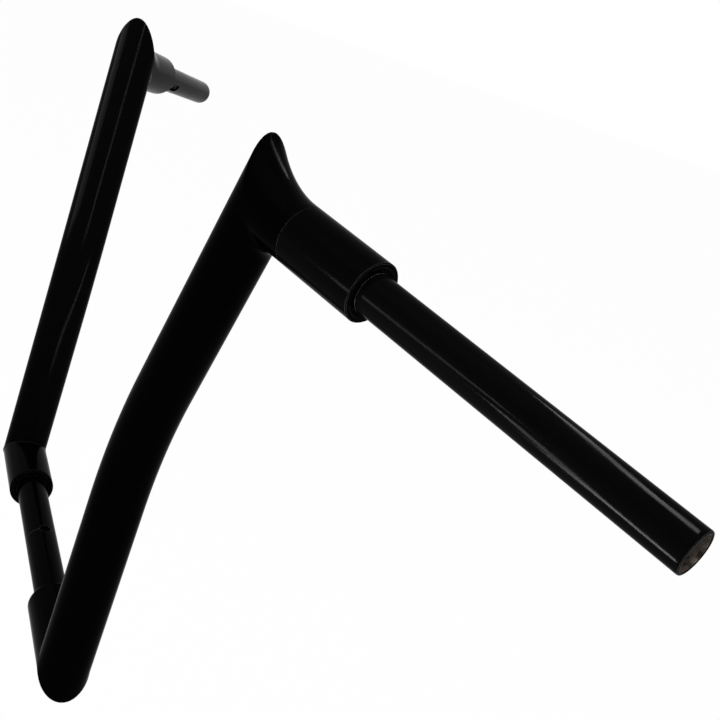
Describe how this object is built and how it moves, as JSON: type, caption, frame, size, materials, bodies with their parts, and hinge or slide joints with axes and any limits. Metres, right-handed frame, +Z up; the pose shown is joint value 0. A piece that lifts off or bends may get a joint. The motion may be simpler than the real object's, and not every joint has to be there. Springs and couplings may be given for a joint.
{
  "type": "ape hanger handlebar",
  "caption": "Tall motorcycle handlebar welded from fat round tube, with pointed, scooped top corners, swept-back grip tubes and a slim clamp tube between the uprights.",
  "frame": {"origin": "middle of the clamp tube, on its axis, level with the wiring hole", "axes": "+X to the rider's right along the clamp tube, +Y forward, +Z up along the uprights"},
  "size_m": [1.0252, 0.1826, 0.4337],
  "materials": {
    "black_coat": "gloss"
  },
  "bodies": {
    "root": {"clamp_tube": "black_coat", "right_lower_collar": "black_coat", "left_lower_collar": "black_coat", "right_lower_bush": "black_coat", "left_lower_bush": "black_coat", "right_lower_seam": "black_coat", "left_lower_seam": "black_coat", "right_upright": "black_coat", "left_upright": "black_coat", "right_point_cap": "black_coat", "left_point_cap": "black_coat", "right_corner_stub": "black_coat", "left_corner_stub": "black_coat", "right_corner_weld": "black_coat", "left_corner_weld": "black_coat", "right_grip_collar": "black_coat", "left_grip_collar": "black_coat", "right_grip_tube": "black_coat", "left_grip_tube": "black_coat"}
  },
  "joints": []
}
